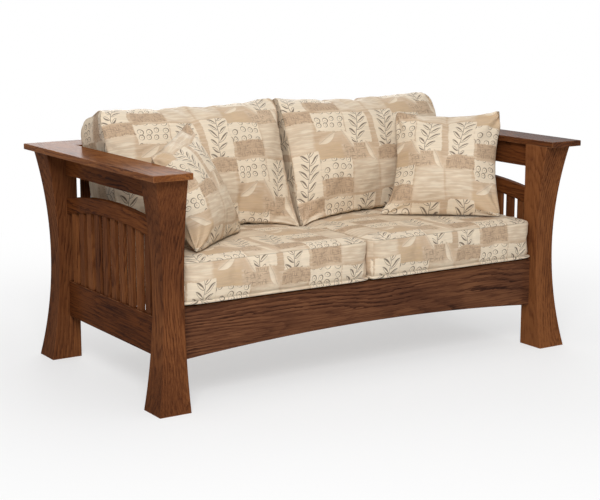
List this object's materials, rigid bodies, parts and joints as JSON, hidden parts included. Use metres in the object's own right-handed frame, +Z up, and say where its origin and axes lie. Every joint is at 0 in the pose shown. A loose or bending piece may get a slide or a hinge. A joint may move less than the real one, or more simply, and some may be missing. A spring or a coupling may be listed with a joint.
{
  "type": "mission settle",
  "caption": "Wooden mission settle with flared posts, slatted arched sides and back, wide flat arms, loose seat and back cushions and throw pillows.",
  "frame": {"origin": "on the floor, under the middle of the settle's outer box", "axes": "+X along the settle's length, from its left end as seen from the front to its right end; -Y towards the front; +Z up"},
  "size_m": [1.607, 0.928, 0.8422],
  "materials": {
    "stained_oak": "dark reddish-brown stain under a semi-gloss lacquer",
    "plain_wood": "planed, unstained",
    "screw_steel": "zinc-plated",
    "cushion_fabric": "woven jacquard in cream, beige, taupe and gold, with a slight sheen"
  },
  "bodies": {
    "frame": {"post_front_left": "stained_oak", "post_front_right": "stained_oak", "post_back_left": "stained_oak", "post_back_right": "stained_oak", "arm_cap_left": "stained_oak", "arm_cap_right": "stained_oak", "back_cap": "stained_oak", "side_top_rail_left": "stained_oak", "side_top_rail_right": "stained_oak", "side_arched_rail_left": "stained_oak", "side_arched_rail_right": "stained_oak", "side_bottom_rail_left": "stained_oak", "side_bottom_rail_right": "stained_oak", "side_slats_left": "stained_oak", "side_slats_right": "stained_oak", "front_rail": "stained_oak", "back_top_rail": "stained_oak", "back_bottom_rail": "stained_oak", "back_slats": "stained_oak", "front_cleat": "plain_wood", "back_cleat": "plain_wood", "centre_stretcher": "plain_wood", "deck_slats": "plain_wood", "cap_slips": "plain_wood", "cleat_screws": "screw_steel"},
    "left_seat_cushion": {"seat_cushion_left": "cushion_fabric"},
    "right_seat_cushion": {"seat_cushion_right": "cushion_fabric"},
    "left_back_cushion": {"back_cushion_left": "cushion_fabric"},
    "right_back_cushion": {"back_cushion_right": "cushion_fabric"},
    "left_throw_pillow": {"throw_pillow_left": "cushion_fabric"},
    "right_throw_pillow": {"throw_pillow_right": "cushion_fabric"}
  },
  "joints": [
    {"name": "left_seat_cushion_pull", "type": "slide", "parent": "frame", "child": "left_seat_cushion", "axis": [0, -1, 0], "range_m": [0, 0.3]},
    {"name": "right_seat_cushion_pull", "type": "slide", "parent": "frame", "child": "right_seat_cushion", "axis": [0, -1, 0], "range_m": [0, 0.3]},
    {"name": "left_back_cushion_lift", "type": "slide", "parent": "frame", "child": "left_back_cushion", "axis": [0, 0.3223, 0.9466], "range_m": [0, 0.3]},
    {"name": "right_back_cushion_lift", "type": "slide", "parent": "frame", "child": "right_back_cushion", "axis": [0, 0.3223, 0.9466], "range_m": [0, 0.3]},
    {"name": "left_throw_pillow_lift", "type": "slide", "parent": "left_seat_cushion", "child": "left_throw_pillow", "axis": [0, 0, 1], "range_m": [0, 0.3]},
    {"name": "right_throw_pillow_lift", "type": "slide", "parent": "right_seat_cushion", "child": "right_throw_pillow", "axis": [0, 0, 1], "range_m": [0, 0.3]}
  ]
}
